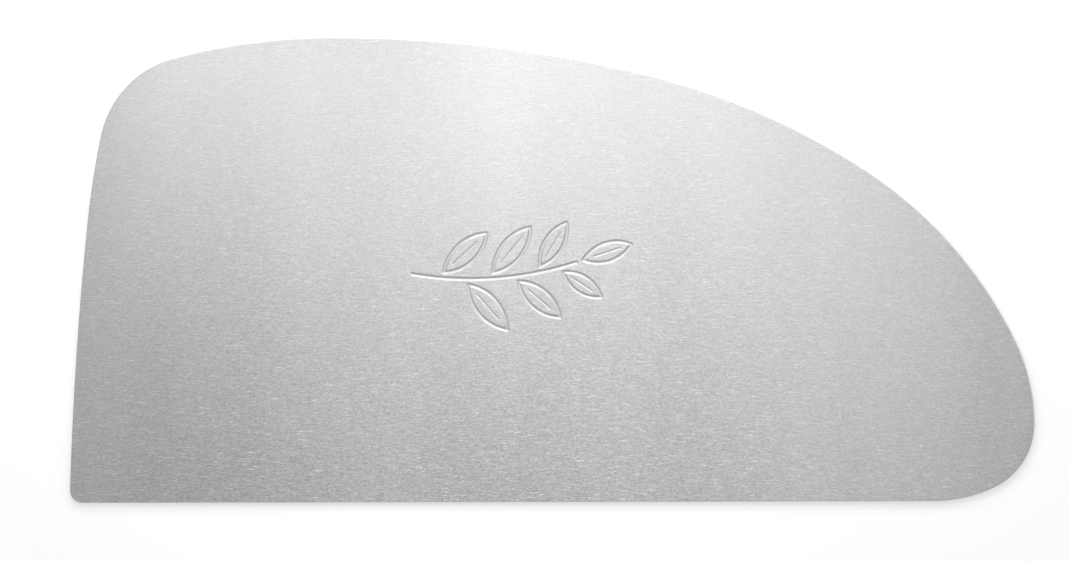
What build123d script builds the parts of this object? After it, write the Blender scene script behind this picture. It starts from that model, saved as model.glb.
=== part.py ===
"""Pottery rib: one flat blade of brushed stainless sheet, with a leaf sprig pressed into its face.

Millimetres. The rib lies on its back. X runs along the straight working edge, from the heel
to the nose, Y runs from that edge up to the crown, and Z runs up through the sheet.
The origin is under the middle of the blade, on the surface that it lies on.
"""
import os
from math import sqrt

from build123d import *

# The blade: overall sizes, 4 1/4 by 2 inches, and the gauge of the sheet
overall_length = 107.95
overall_width = 50.8
sheet_thickness = 0.5

# The blade's rim: the tight heel corner and the easing that takes the burr off
heel_radius = 1.4
edge_easing = 0.08
easing_limit_share = 0.4  # of the sheet's thickness, at most

# The blade's outline, as shares of its length and its width, from the heel corner.
# Two tangent arcs join each point to the next, and a split shares the bend out between them.
side_lean_degrees = 2.0
side_top_shares = (0.034, 0.791)
side_top_way_shares = (0.019, 0.185)
side_split_share = 0.75
crown_shares = (0.270, 1.0)
shoulder_split_share = 0.44
sweep_shares = (0.827, 0.708)
sweep_way_shares = (0.131, -0.179)
crown_split_share = 0.57
nose_shares = (1.0, 0.166)
sweep_split_share = 0.73
toe_shares = (0.896, 0.0)
nose_split_share = 0.57

# The pressed lines: the wide one of the stem and the leaf edges, and the fine one of the veins
line_width = 0.45
line_depth = 0.08
vein_width = 0.26
vein_depth = 0.045

# The sprig: the place of its middle on the blade, its stem, and its leaves
sprig_centre_shares = (0.473, 0.503)
stem_span = 18.4
stem_rise = 1.2
stem_sag = 1.1
leaf_length = 6.6
leaf_slimness_share = 0.36
leaf_gap = 0.85
leaf_spread_degrees = 47
vein_span_shares = (0.22, 0.76)
tip_leaf_share = 0.85
# Each side leaf: its place along the stem, its share of the full leaf length, and its side
leaf_shares = [
    (0.16, 0.97, 1),
    (0.31, 1.00, -1),
    (0.46, 0.98, 1),
    (0.61, 0.92, -1),
    (0.75, 0.85, 1),
    (0.88, 0.76, -1),
]


def outline_step(shares):
    """A step in the blade's plane, from its shares of the length and the width."""
    length_share, width_share = shares
    return Vector(length_share * overall_length, width_share * overall_width)


def outline_point(shares):
    """A place in the blade's plane, from its shares of the length and the width."""
    return outline_step(shares) - outline_step((1 / 2, 1 / 2))


def tangent_pair(start, start_way, end, end_way, split_share):
    """Two arcs that run on smoothly, from start along one way to end along the other."""
    chord = end - start
    lead = chord.dot(start_way * split_share + end_way * (1 - split_share))
    bend = 2 * split_share * (1 - split_share) * (1 - start_way.dot(end_way))
    reach = (sqrt(lead**2 + bend * chord.dot(chord)) - lead) / bend
    start_handle = start + start_way * (reach * split_share)
    end_handle = end - end_way * (reach * (1 - split_share))
    meeting = start_handle + (end_handle - start_handle) * split_share
    first = TangentArc(start, meeting, tangent=start_way)
    TangentArc(meeting, end, tangent=first % 1)


def blade_outline():
    """The closed outline: heel, leaning side, shoulder, crown, sweep, nose, toe, working edge."""
    side_top_way = outline_step(side_top_way_shares).normalized()
    sweep_way = outline_step(sweep_way_shares).normalized()
    stations = [
        (outline_point(side_top_shares), side_top_way, side_split_share),
        (outline_point(crown_shares), Vector(1, 0), shoulder_split_share),
        (outline_point(sweep_shares), sweep_way, crown_split_share),
        (outline_point(nose_shares), Vector(0, -1), sweep_split_share),
        (outline_point(toe_shares), Vector(-1, 0), nose_split_share),
    ]
    with BuildLine() as outline:
        heel = CenterArc(
            outline_point((0, 0)) + Vector(heel_radius, heel_radius),
            heel_radius,
            start_angle=180 - side_lean_degrees,
            arc_size=90 + side_lean_degrees,
        )
        place, way = heel @ 0, heel % 0 * -1
        for next_place, next_way, split_share in stations:
            tangent_pair(place, way, next_place, next_way, split_share)
            place, way = next_place, next_way
        Line(place, heel @ 1)
    return outline.wire()


def blade_blank():
    """The sheet cut to the outline, with its burr eased off all round, above and below."""
    blank = extrude(make_face(blade_outline()), amount=sheet_thickness)
    levels = blank.faces().sort_by(Axis.Z)
    easing = min(edge_easing, easing_limit_share * sheet_thickness)
    return fillet(levels[0].edges() + levels[-1].edges(), radius=easing)


def pressed_line(path, width, depth):
    """What a round-nosed punch takes out of the upper face along a path, with its round ends."""
    punch_radius = (width**2 / 4 + depth**2) / (2 * depth)
    track = Pos(0, 0, sheet_thickness - depth + punch_radius) * path
    section = Plane(origin=track @ 0, z_dir=track % 0) * Circle(punch_radius)
    return [
        sweep(section, path=track),
        Pos(track @ 0) * Sphere(punch_radius),
        Pos(track @ 1) * Sphere(punch_radius),
    ]


def leaf_lines(base, along, length):
    """An almond leaf: two bowed lines that meet at its base and its tip, with a vein between."""
    across = along.rotate(Axis.Z, 90)
    middle = base + along * (length / 2)
    tip = base + along * length
    bow = across * (leaf_slimness_share * length / 2)
    vein_start, vein_end = (base + along * (length * share) for share in vein_span_shares)
    return (
        pressed_line(ThreePointArc(base, middle + bow, tip), line_width, line_depth)
        + pressed_line(ThreePointArc(base, middle - bow, tip), line_width, line_depth)
        + pressed_line(Line(vein_start, vein_end), vein_width, vein_depth)
    )


def sprig_lines():
    """Every line of the sprig: its bowed stem, the leaves on both sides and the one at the tip."""
    tip_leaf_length = tip_leaf_share * leaf_length
    sprig_span = stem_span + leaf_gap + tip_leaf_length
    foot = outline_point(sprig_centre_shares) - Vector(sprig_span / 2, stem_rise / 2)
    head = foot + Vector(stem_span, stem_rise)
    stem = ThreePointArc(foot, (foot + head) / 2 - Vector(0, stem_sag), head)

    lines = pressed_line(stem, line_width, line_depth)
    for place_share, length_share, side in leaf_shares:
        along = (stem % place_share).rotate(Axis.Z, side * leaf_spread_degrees)
        base = stem @ place_share + along * leaf_gap
        lines += leaf_lines(base, along, length_share * leaf_length)
    onward = stem % 1
    return lines + leaf_lines(head + onward * leaf_gap, onward, tip_leaf_length)


def rib_blade():
    """The whole rib: the eased blank with the sprig pressed into its upper face."""
    return blade_blank() - sprig_lines()


os.makedirs("parts", exist_ok=True)
export_step(rib_blade(), "parts/rib_blade.step")
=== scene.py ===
"""The look of a pottery rib: brushed stainless sheet with a pressed leaf sprig, on white.

Places in the blade's plane are complex numbers, with X as the real part and Y as the other.
Sizes are in metres, most of them written as so many millimetres.
"""
import cmath
import math

import bpy
import numpy as np
from mathutils import Matrix, Vector, geometry


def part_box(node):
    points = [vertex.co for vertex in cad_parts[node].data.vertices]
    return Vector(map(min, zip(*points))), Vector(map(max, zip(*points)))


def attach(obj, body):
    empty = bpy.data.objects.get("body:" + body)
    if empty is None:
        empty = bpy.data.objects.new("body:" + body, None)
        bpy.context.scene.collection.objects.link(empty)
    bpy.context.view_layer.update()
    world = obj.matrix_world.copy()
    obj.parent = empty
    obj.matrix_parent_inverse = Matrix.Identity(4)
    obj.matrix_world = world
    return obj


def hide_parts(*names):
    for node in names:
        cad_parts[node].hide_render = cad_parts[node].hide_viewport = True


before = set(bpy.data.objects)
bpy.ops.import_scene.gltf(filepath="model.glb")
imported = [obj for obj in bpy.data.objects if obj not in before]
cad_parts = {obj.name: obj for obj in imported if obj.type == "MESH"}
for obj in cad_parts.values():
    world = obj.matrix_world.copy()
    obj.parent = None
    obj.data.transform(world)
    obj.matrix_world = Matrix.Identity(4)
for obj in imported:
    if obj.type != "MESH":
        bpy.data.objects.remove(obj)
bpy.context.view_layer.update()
blade_low, blade_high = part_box("rib_blade")

MM = 0.001

# The blade, from the frame, and its rim
overall_length, overall_width = (blade_high - blade_low).xy
heel_radius = 1.4 * MM
edge_easing = 0.08 * MM

# The blade's outline, as shares of its length and its width, from the heel corner
side_lean = math.radians(2.0)
side_top_shares = (0.034, 0.791)
side_top_way_shares = (0.019, 0.185)
side_split_share = 0.75
crown_shares = (0.270, 1.0)
shoulder_split_share = 0.44
sweep_shares = (0.827, 0.708)
sweep_way_shares = (0.131, -0.179)
crown_split_share = 0.57
nose_shares = (1.0, 0.166)
sweep_split_share = 0.73
toe_shares = (0.896, 0.0)
nose_split_share = 0.57

# The pressed lines: the wide ones, the fine ones of the veins, and the softness of their lips
line_width, line_depth = 0.45 * MM, 0.08 * MM
vein_width, vein_depth = 0.26 * MM, 0.045 * MM
lip_softness = 0.006 * MM
lip_reach_share = 1.6

# The sprig: its place, its stem and its leaves, with each side leaf's place, size and side
sprig_centre_shares = (0.473, 0.503)
stem_span, stem_rise, stem_sag = 18.4 * MM, 1.2 * MM, 1.1 * MM
leaf_length = 6.6 * MM
leaf_slimness_share = 0.36
leaf_gap = 0.85 * MM
leaf_spread = math.radians(47)
vein_span_shares = (0.22, 0.76)
tip_leaf_share = 0.85
leaf_shares = [
    (0.16, 0.97, 1),
    (0.31, 1.00, -1),
    (0.46, 0.98, 1),
    (0.61, 0.92, -1),
    (0.75, 0.85, 1),
    (0.88, 0.76, -1),
]

# An arc that turns less than this, in radians, is a straight line
straight_turn = 1e-9

# The mesh of the rim: the steps of its easing, the flat strip inside it, and how far a step
# along the outline may cut off its arc
easing_steps = 6
flat_margin = 0.08 * MM
outline_sag = 0.0015 * MM
least_arc_steps = 3

# The mesh of the lines: the places along each one, and beside it as shares of its half width
line_step = 0.12 * MM
least_line_steps, least_end_places = 2, 8
line_offset_shares = (0.0, 0.25, 0.5, 0.7, 0.85, 0.95, 1.05, 1.2, 1.45)
least_spacing = 0.028 * MM

# How Blender fills an outline: its inside alone, and places nearer than this are one
fill_inside, fill_tolerance = 1, 1e-9

# The strokes of the brushing, and the painted reflection: soft bands of lighter and darker grey
# across the sheet that stand in for bands of reflected light. For each, how long, wide and deep its
# grain is.
# Nearly all values of a noise lie in its span. Its turn and shift choose what part of it the blade
# shows.
fine_stroke = (0.31 * MM, 0.13 * MM, 0.13 * MM)
long_stroke = (1.3 * MM, 0.11 * MM, 0.11 * MM)
painted_reflection_band = (13.0 * MM, 80.0 * MM, 80.0 * MM)
band_shift = (5.3, 17.1, 0.0)
noise_turn = (0.6, 0.4, 0.9)
noise_span = (0.2, 0.8)
fleck_span = (0.63, 0.83)
stroke_depth = 0.007 * MM

# The steel's grey, how far each grain and the painted reflection darken and lighten it, as shares
# of it, and its gloss
steel_grey = 0.62
fine_tones = (-0.155, 0.140)
long_tones = (-0.05, 0.05)
fleck_tones = (0.0, 0.19)
band_tones = (-0.06, 0.07)
steel_roughness = (0.38, 0.46)

# The punched and cut metal: over these spans of how far it is pressed or cut, its strokes fade
# to the share that is kept, and its roughness changes by so much
stroke_fading = (0.1, 0.7)
strokes_kept = 0.25
smoothing_span = (0.1, 0.9)
smoothing = -0.06

# The wear: it grows from just below the crown to the working edge, late on the way. Along the
# edge it is full near its middle, and over its span it falls to a share of that. The strokes
# show by the first gain where there is no wear, and by the second where it is full.
wear_reach = (24.0 * MM, -25.0 * MM)
wear_lateness = 1.6
wear_middle = -10.0 * MM
wear_span = (24.0 * MM, 44.0 * MM)
wear_at_ends = 0.4
stroke_gains = (1.3, 3.15)

# The camera: a long lens, nearly straight above, tilted towards the nose and rolled a little.
# It looks at a place beside the blade's middle, and sees so much from side to side there.
camera_tilt = math.radians(12.7)
camera_roll = math.radians(-0.24)
camera_lens = 800.0
sensor_width = 36.0
camera_range = 10.0
aim_beside_middle = Vector((-1.674, -1.215, 0)) * MM
view_width = 116.74 * MM

# The lights: three slim softboxes close above the crown, a small one beside the heel and a long
# far one that draws the shadow. Each has its place, width, depth and watts.
softboxes = {
    "crown_strip": ((-0.013, 0.038, 0.070), 0.073, 0.020, 0.0149),
    "heel_strip": ((-0.054, 0.039, 0.060), 0.039, 0.020, 0.0066),
    "side_box": ((-0.079, -0.010, 0.060), 0.020, 0.028, 0.0011),
    "middle_strip": ((0.004, 0.016, 0.075), 0.070, 0.020, 0.0093),
    "far_panel": ((0.066, 0.200, 0.108), 0.668, 0.050, 0.433),
}

# The studio: white at the horizon, and grey from some height up to straight above
horizon_white, studio_grey = 1.0, 0.37
studio_heights = (0.05, 0.75)

# The floor, and its glow, which grows over this distance from the blade's middle
floor_reach = 1.5
floor_gap = 0.02 * MM
floor_white = 0.66
near_floor_glow, far_floor_glow = 0.45, 0.70
glow_reach = (0.065, 0.115)


class Arc:
    """A circular arc, or a straight line, from start along a way that turns steadily to its end."""

    def __init__(self, start, way, end):
        chord = end - start
        self.start, self.way, self.end = start, way / abs(way), end
        self.turn = 2 * cmath.phase(chord / self.way)
        self.straight = abs(self.turn) < straight_turn
        half = self.turn / 2
        self.length = abs(chord) * (1 if self.straight else half / math.sin(half))

    def at(self, share):
        """The place that far along, and the way there."""
        way = self.way * np.exp(1j * self.turn * share)
        if self.straight:
            return self.start + (self.end - self.start) * share, way
        return self.start + self.length / self.turn * (way - self.way) / 1j, way

    def sampled(self, steps, last=False):
        """Places at even steps along the arc, and the ways there."""
        return self.at(np.arange(steps + last) / steps)

    def distance(self, places):
        """How far each place is from the arc."""
        ends = np.minimum(abs(places - self.start), abs(places - self.end))
        if self.straight:
            ahead = (places - self.start) / self.way
            beside = (ahead.real > 0) & (ahead.real < self.length)
            return np.where(beside, abs(ahead.imag), ends)
        radius = self.length / self.turn
        centre = self.start + 1j * self.way * radius
        around = np.angle((places - centre) / (self.start - centre)) / self.turn
        beside = (around > 0) & (around < 1)
        return np.where(beside, abs(abs(places - centre) - abs(radius)), ends)


def outline_step(shares):
    """A step in the blade's plane, from its shares of the length and the width."""
    return complex(shares[0] * overall_length, shares[1] * overall_width)


def outline_point(shares):
    """A place in the blade's plane, from its shares of the length and the width."""
    return complex(blade_low.x, blade_low.y) + outline_step(shares)


def unit(step):
    """The way that a step goes."""
    return step / abs(step)


def along(step, way):
    """The length of a step along a way."""
    return (step * way.conjugate()).real


def tangent_pair(start, start_way, end, end_way, split_share):
    """Two arcs that run on smoothly, from start along one way to end along the other."""
    chord = end - start
    lead = along(start_way * split_share + end_way * (1 - split_share), chord)
    bend = 2 * split_share * (1 - split_share) * (1 - along(start_way, end_way))
    reach = (math.sqrt(lead**2 + bend * abs(chord) ** 2) - lead) / bend
    start_handle = start + start_way * reach * split_share
    end_handle = end - end_way * reach * (1 - split_share)
    meeting = start_handle + (end_handle - start_handle) * split_share
    first = Arc(start, start_way, meeting)
    return [first, Arc(meeting, first.at(1)[1], end)]


def blade_outline():
    """The outline's arcs, clockwise from the straight edge's end at the heel."""
    stations = [
        (side_top_shares, unit(outline_step(side_top_way_shares)), side_split_share),
        (crown_shares, 1 + 0j, shoulder_split_share),
        (sweep_shares, unit(outline_step(sweep_way_shares)), crown_split_share),
        (nose_shares, -1j, sweep_split_share),
        (toe_shares, -1 + 0j, nose_split_share),
    ]
    edge_end = outline_point((0, 0)) + heel_radius
    heel_centre = edge_end + 1j * heel_radius
    place = heel_centre - heel_radius * cmath.exp(-1j * side_lean)
    arcs = [Arc(edge_end, -1 + 0j, place)]
    way = arcs[0].at(1)[1]
    for shares, next_way, split_share in stations:
        arcs += tangent_pair(place, way, outline_point(shares), next_way, split_share)
        place, way = outline_point(shares), next_way
    return arcs + [Arc(place, way, edge_end)]


def leaf_paths(base, way, size):
    """The two bowed lines of an almond leaf, and its vein."""
    tip = base + way * size
    bow = 2 * math.atan(leaf_slimness_share)
    sides = [Arc(base, way * cmath.exp(1j * side * bow), tip) for side in (1, -1)]
    vein_start, vein_end = (base + way * size * share for share in vein_span_shares)
    return sides, [Arc(vein_start, way, vein_end)]


def sprig_paths():
    """The sprig's wide lines, which are its stem and its leaves' sides, and its fine veins."""
    tip_leaf_length = tip_leaf_share * leaf_length
    sprig_span = complex(stem_span + leaf_gap + tip_leaf_length, stem_rise)
    foot = outline_point(sprig_centre_shares) - sprig_span / 2
    stem_chord = complex(stem_span, stem_rise)
    middle = foot + stem_chord / 2 - 1j * stem_sag
    # An arc's first way makes the angle with its chord that its middle point makes with its end
    start_way = unit(stem_chord) * (unit(middle - foot) / unit(foot + stem_chord - middle))
    stem = Arc(foot, start_way, foot + stem_chord)
    wide, fine = [stem], []
    heads = [(*stem.at(place), size * leaf_length, side) for place, size, side in leaf_shares]
    heads.append((*stem.at(1), tip_leaf_length, 0))
    for place, way, size, side in heads:
        way = way * cmath.exp(1j * side * leaf_spread)
        sides, vein = leaf_paths(place + way * leaf_gap, way, size)
        wide += sides
        fine += vein
    return wide, fine


def pressed_depth(distance, width, depth):
    """How deep a round-nosed punch presses that far from its line, with softened lips."""
    radius = (width**2 / 4 + depth**2) / (2 * depth)
    ball = np.sqrt(np.maximum(radius**2 - distance**2, 0)) - (radius - depth)
    softened = (ball + np.sqrt(ball**2 + lip_softness**2)) / 2
    return softened * (distance < lip_reach_share * width / 2)


def line_places(arc, half_width):
    """Places for a fine mesh beside a line: rows that follow it, and rings around its ends."""
    steps = max(least_line_steps, round(arc.length / line_step))
    offsets = np.array(line_offset_shares) * half_width
    middle, way = arc.sampled(steps, last=True)
    rows = [middle + 1j * way * side * offset for offset in offsets for side in (1, -1)]
    for end in (arc.start, arc.end):
        for offset in offsets[1:]:
            count = max(least_end_places, round(2 * math.pi * offset / line_step))
            rows.append(end + offset * np.exp(2j * math.pi * np.arange(count) / count))
    return rows


def thinned(places):
    """The places, without those that lie closer than the least spacing to an earlier one."""
    cells, kept = {}, []
    for place in places:
        column, row = int(place.real // least_spacing), int(place.imag // least_spacing)
        near = [
            cells[column + across, row + up]
            for across in (-1, 0, 1)
            for up in (-1, 0, 1)
            if (column + across, row + up) in cells
        ]
        if all(abs(place - other) > least_spacing for other in near):
            cells[column, row] = place
            kept.append(place)
    return kept


def sprig_relief(wide, fine):
    """Places over the sprig for a fine mesh, and the depth that is pressed at each."""

    def nearest(paths):
        return np.min([path.distance(places) for path in paths], axis=0)

    rows = []
    for paths, width in ((wide, line_width), (fine, vein_width)):
        for path in paths:
            rows += line_places(path, width / 2)
    places = np.array(thinned(np.concatenate(rows)))
    depths = np.maximum(
        pressed_depth(nearest(wide), line_width, line_depth),
        pressed_depth(nearest(fine), vein_width, vein_depth),
    )
    return places, depths


def outline_places(arcs):
    """The outline's places and outward ways, close enough together to look round."""
    places, ways = [], []
    for arc in arcs:
        radius = arc.length / max(abs(arc.turn), straight_turn)
        chord = min(math.sqrt(8 * radius * outline_sag), arc.length / least_arc_steps)
        place, way = arc.sampled(math.ceil(arc.length / chord))
        places.append(place)
        ways.append(way * 1j)
    return np.concatenate(places), np.concatenate(ways)


def rim_rings():
    """The rings round the rim, from the face to the back: each one's inset, height and cut."""
    rim = [(edge_easing + flat_margin, 0.0, 0.0)]
    for turn in np.linspace(0, math.pi / 2, easing_steps + 1):
        inset, drop = edge_easing * (1 - math.sin(turn)), edge_easing * (1 - math.cos(turn))
        rim.append((inset, drop, 1.0 if turn else 0.0))
    face_rings = [(inset, blade_high.z - drop, cut) for inset, drop, cut in rim]
    back_rings = [(inset, blade_low.z + drop, cut) for inset, drop, cut in reversed(rim)]
    return face_rings + back_rings


def blade_shape():
    """The blade's closed shape, and how far each of its vertices is pressed and cut."""
    places, outward = outline_places(blade_outline())
    count = len(places)
    vertices, faces, cuts = [], [], []
    rings = rim_rings()
    for inset, height, cut in rings:
        vertices += [(place.real, place.imag, height) for place in places - outward * inset]
        cuts += [cut] * count
    presses = [0.0] * len(vertices)
    for upper in range(0, (len(rings) - 1) * count, count):
        lower = upper + count
        for here in range(count):
            beside = (here + 1) % count
            faces.append((upper + here, upper + beside, lower + beside, lower + here))

    # The first ring is filled with the sprig's places between its own, and the last one plainly
    caps = {0: sprig_relief(*sprig_paths()), (len(rings) - 1) * count: ([], [])}
    for first, (inner, depths) in caps.items():
        spots = [Vector(corner[:2]) for corner in vertices[first : first + count]]
        spots += [Vector((place.real, place.imag)) for place in inner]
        filled = geometry.delaunay_2d_cdt(
            spots, [], [list(range(count))], fill_inside, fill_tolerance
        )
        index = []
        for spot, sources in zip(filled[0], filled[3]):
            source = min(sources)
            if source < count:
                index.append(first + source)
                continue
            index.append(len(vertices))
            depth = depths[source - count]
            vertices.append((spot.x, spot.y, blade_high.z - depth))
            presses.append(depth / line_depth)
            cuts.append(0.0)
        for face in filled[2]:
            corners = [index[corner] for corner in face]
            faces.append(corners[::-1] if first else corners)
    return vertices, faces, presses, cuts


def blade_mesh():
    """The blade as one smooth mesh, with what its steel needs to know at each vertex."""
    vertices, faces, presses, cuts = blade_shape()
    mesh = bpy.data.meshes.new("rib_blade_brushed")
    mesh.from_pydata(vertices, [], faces)
    mesh.shade_smooth()
    for name, values in (("pressed", presses), ("cut", cuts)):
        mesh.attributes.new(name, "FLOAT", "POINT").data.foreach_set("value", values)
    # The strokes run along this map's first direction
    brushing = mesh.uv_layers.new(name="brushing")
    for loop in mesh.loops:
        place = mesh.vertices[loop.vertex_index].co
        brushing.uv[loop.index].vector = (place.x / overall_length, place.y / overall_length)
    return mesh


def node(tree, kind, **values):
    """A shader node with its settings and the values of its inputs."""
    made = tree.nodes.new(kind)
    for name, value in values.items():
        if hasattr(made, name):
            setattr(made, name, value)
        else:
            made.inputs[name.replace("_", " ")].default_value = value
    return made


def new_material(name):
    """A material without nodes, and its node tree."""
    material = bpy.data.materials.new(name)
    material.use_nodes = True
    material.node_tree.nodes.clear()
    return material, material.node_tree


def strokes(tree, size, shift=(0.0, 0.0, 0.0), **values):
    """Noise drawn out along the brushing: its grain is that long, that wide and that deep."""
    place = node(tree, "ShaderNodeTexCoord")
    # The turn comes after the stretch, so it only takes the noise's own grid off the face
    stretch = node(
        tree, "ShaderNodeMapping",
        Scale=[1 / side for side in size], Rotation=noise_turn, Location=shift,
    )
    tree.links.new(place.outputs["Object"], stretch.inputs["Vector"])
    noise = node(tree, "ShaderNodeTexNoise", Scale=1.0, **values)
    tree.links.new(stretch.outputs["Vector"], noise.inputs["Vector"])
    return noise.outputs["Fac"]


def scaled(tree, value, low, high, to_low, to_high):
    """A value that runs from to_low to to_high while the given one runs from low to high."""
    made = node(
        tree, "ShaderNodeMapRange",
        From_Min=low, From_Max=high, To_Min=to_low, To_Max=to_high,
    )
    tree.links.new(value, made.inputs["Value"])
    return made.outputs["Result"]


def combined(tree, operation, first, second):
    """The result of an operation on two values, each of them a number or another result."""
    made = node(tree, "ShaderNodeMath", operation=operation)
    for socket, value in zip(made.inputs, (first, second)):
        if isinstance(value, float):
            socket.default_value = value
        else:
            tree.links.new(value, socket)
    return made.outputs["Value"]


def attribute(tree, name):
    """The mesh's own value of that name."""
    return node(tree, "ShaderNodeAttribute", attribute_name=name).outputs["Fac"]


def wear(tree):
    """How strongly the strokes show: most along the middle of the working edge, worn by clay."""
    place = node(tree, "ShaderNodeTexCoord")
    parts = node(tree, "ShaderNodeSeparateXYZ")
    tree.links.new(place.outputs["Object"], parts.inputs["Vector"])
    near_edge = scaled(tree, parts.outputs["Y"], *wear_reach, 0.0, 1.0)
    near_edge = combined(tree, "POWER", near_edge, wear_lateness)
    beside = combined(tree, "SUBTRACT", parts.outputs["X"], wear_middle)
    beside = combined(tree, "ABSOLUTE", beside, 0.0)
    near_middle = scaled(tree, beside, *wear_span, 1.0, wear_at_ends)
    worn = combined(tree, "MULTIPLY", near_edge, near_middle)
    return scaled(tree, worn, 0.0, 1.0, *stroke_gains)


def brushed_stainless():
    """Satin stainless, brushed with short strokes along the length; its rim and lines are not."""
    material, tree = new_material("brushed_stainless")
    link = tree.links.new

    fine = strokes(tree, fine_stroke, Detail=2.0, Roughness=0.9)
    long = strokes(tree, long_stroke, Detail=1.0, Roughness=0.8)
    # Painted reflection: soft bands of lighter and darker grey across the sheet, set where bands of
    # reflected light lie
    bands = strokes(tree, painted_reflection_band, band_shift, Detail=1.0, Roughness=0.4)
    flecks = scaled(tree, long, *fleck_span, *fleck_tones)

    # Punch and deburring wheel both leave the metal without strokes
    unbrushed = combined(tree, "MAXIMUM", attribute(tree, "pressed"), attribute(tree, "cut"))
    brushed = scaled(tree, unbrushed, *stroke_fading, 1.0, strokes_kept)

    grain = combined(tree, "ADD", scaled(tree, fine, *noise_span, *fine_tones), flecks)
    grain = combined(tree, "ADD", grain, scaled(tree, long, *noise_span, *long_tones))
    grain = combined(tree, "MULTIPLY", grain, wear(tree))
    grain = combined(tree, "MULTIPLY", grain, brushed)
    # The steel's grey carries the grain and the painted reflection bands
    shade = combined(tree, "ADD", grain, scaled(tree, bands, *noise_span, *band_tones))

    steel = node(
        tree, "ShaderNodeBsdfPrincipled",
        Metallic=1.0, Anisotropic=0.8, Anisotropic_Rotation=0.25,
    )
    link(scaled(tree, shade, -1.0, 1.0, 0.0, 2 * steel_grey), steel.inputs["Base Color"])
    roughness = combined(
        tree, "ADD",
        scaled(tree, long, *noise_span, *steel_roughness),
        scaled(tree, unbrushed, *smoothing_span, 0.0, smoothing),
    )
    link(roughness, steel.inputs["Roughness"])
    tangent = node(tree, "ShaderNodeTangent", direction_type="UV_MAP", uv_map="brushing")
    link(tangent.outputs["Tangent"], steel.inputs["Tangent"])

    relief = combined(tree, "ADD", scaled(tree, fine, *noise_span, 0.0, 1.0), long)
    relief = combined(tree, "MULTIPLY", relief, brushed)
    scratches = node(tree, "ShaderNodeBump", Strength=1.0, Distance=stroke_depth)
    link(relief, scratches.inputs["Height"])
    link(scratches.outputs["Normal"], steel.inputs["Normal"])

    out = node(tree, "ShaderNodeOutputMaterial")
    link(steel.outputs["BSDF"], out.inputs["Surface"])
    return material


def paper_white():
    """A white floor that the camera sees as plain white, with the blade's shadow on it."""
    material, tree = new_material("white_floor")
    link = tree.links.new
    paper = node(tree, "ShaderNodeBsdfDiffuse", Color=(floor_white, floor_white, floor_white, 1))
    rays = node(tree, "ShaderNodeLightPath")
    seen = combined(tree, "MAXIMUM", rays.outputs["Is Camera Ray"], rays.outputs["Is Glossy Ray"])
    seen = combined(tree, "MAXIMUM", seen, rays.outputs["Is Transmission Ray"])

    # The lamps light the floor round the blade alone, so it glows more farther out
    place = node(tree, "ShaderNodeTexCoord")
    away = node(tree, "ShaderNodeVectorMath", operation="LENGTH")
    link(place.outputs["Object"], away.inputs[0])
    strength = scaled(tree, away.outputs["Value"], *glow_reach, near_floor_glow, far_floor_glow)
    glow = node(tree, "ShaderNodeEmission", Color=(1, 1, 1, 1))
    link(combined(tree, "MULTIPLY", seen, strength), glow.inputs["Strength"])
    both = node(tree, "ShaderNodeAddShader")
    link(paper.outputs["BSDF"], both.inputs[0])
    link(glow.outputs["Emission"], both.inputs[1])

    # The floor is clear from below, so that it doesn't hide the blade's back there
    side = node(tree, "ShaderNodeNewGeometry")
    one_sided = node(tree, "ShaderNodeMixShader")
    clear = node(tree, "ShaderNodeBsdfTransparent")
    link(side.outputs["Backfacing"], one_sided.inputs[0])
    link(both.outputs["Shader"], one_sided.inputs[1])
    link(clear.outputs["BSDF"], one_sided.inputs[2])
    out = node(tree, "ShaderNodeOutputMaterial")
    link(one_sided.outputs["Shader"], out.inputs["Surface"])
    return material


def add_blade():
    """The blade in its steel, in the place of the frame's own."""
    mesh = blade_mesh()
    blade = bpy.data.objects.new("rib_blade_brushed", mesh)
    bpy.context.collection.objects.link(blade)
    mesh.materials.append(brushed_stainless())
    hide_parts("rib_blade")
    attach(blade, "root")


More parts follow.
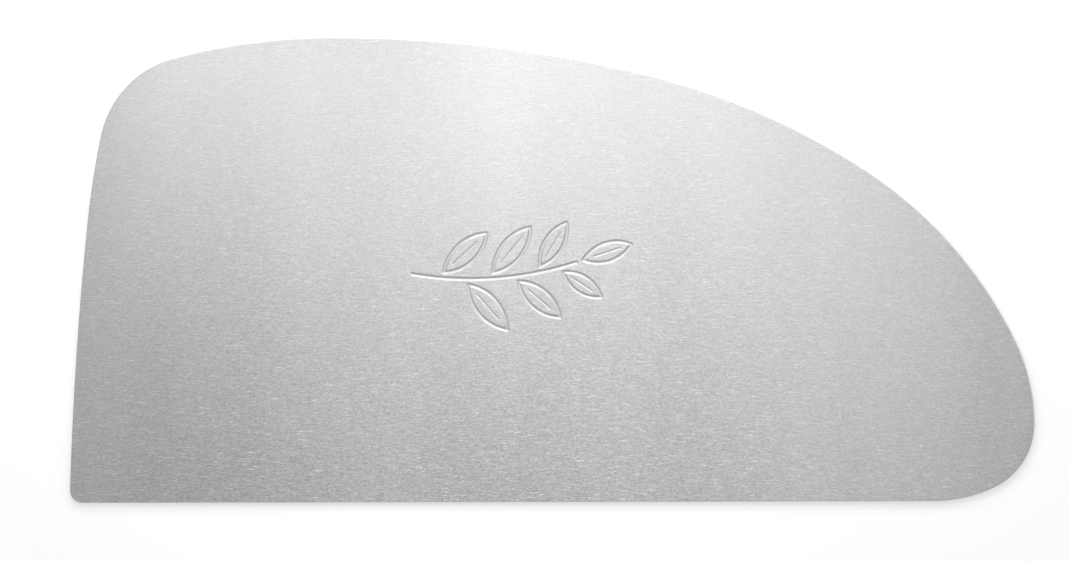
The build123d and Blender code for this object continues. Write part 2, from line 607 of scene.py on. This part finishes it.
def add_floor():
    """The floor, a hair below the blade's back, so that they don't lie in the same plane."""
    mesh = bpy.data.meshes.new("floor")
    corners = [
        (x * floor_reach, y * floor_reach, 0) for x, y in ((-1, -1), (1, -1), (1, 1), (-1, 1))
    ]
    mesh.from_pydata(corners, [], [(0, 1, 2, 3)])
    floor = bpy.data.objects.new("floor", mesh)
    bpy.context.collection.objects.link(floor)
    mesh.materials.append(paper_white())
    floor.location.z = blade_low.z - floor_gap


def add_camera():
    """The camera, as far away as its lens needs to see the view's width."""
    data = bpy.data.cameras.new("camera")
    data.lens = camera_lens
    data.sensor_width = sensor_width
    data.clip_end = camera_range
    camera = bpy.data.objects.new("camera", data)
    bpy.context.collection.objects.link(camera)
    distance = view_width * camera_lens / sensor_width
    turn = Matrix.Rotation(camera_tilt, 4, "Y") @ Matrix.Rotation(camera_roll, 4, "Z")
    aim = (blade_low + blade_high) / 2 + aim_beside_middle
    camera.matrix_world = Matrix.Translation(aim + turn.col[2].to_3d() * distance) @ turn
    bpy.context.scene.camera = camera


def add_lights():
    """The softboxes, which all face the middle of the floor."""
    for name, (place, width, depth, watts) in softboxes.items():
        data = bpy.data.lights.new(name, "AREA")
        data.shape = "RECTANGLE"
        data.size, data.size_y, data.energy = width, depth, watts
        light = bpy.data.objects.new(name, data)
        light.location = place
        light.rotation_euler = Vector(place).to_track_quat("Z", "Y").to_euler()
        light.visible_camera = False
        bpy.context.collection.objects.link(light)


def add_studio():
    """The grey studio around the blade, which the camera sees as plain white."""
    world = bpy.data.worlds.new("studio")
    world.use_nodes = True
    tree = world.node_tree
    tree.nodes.clear()
    way = node(tree, "ShaderNodeTexCoord")
    height = node(tree, "ShaderNodeSeparateXYZ")
    tree.links.new(way.outputs["Generated"], height.inputs["Vector"])
    studio = node(tree, "ShaderNodeBackground", Color=(1, 1, 1, 1))
    strength = scaled(tree, height.outputs["Z"], *studio_heights, horizon_white, studio_grey)
    seen = node(tree, "ShaderNodeLightPath").outputs["Is Camera Ray"]
    tree.links.new(combined(tree, "MAXIMUM", strength, seen), studio.inputs["Strength"])
    out = node(tree, "ShaderNodeOutputWorld")
    tree.links.new(studio.outputs["Background"], out.inputs["Surface"])
    bpy.context.scene.world = world


add_blade()
add_floor()
add_camera()
add_lights()
add_studio()
bpy.context.scene.view_settings.view_transform = "Standard"
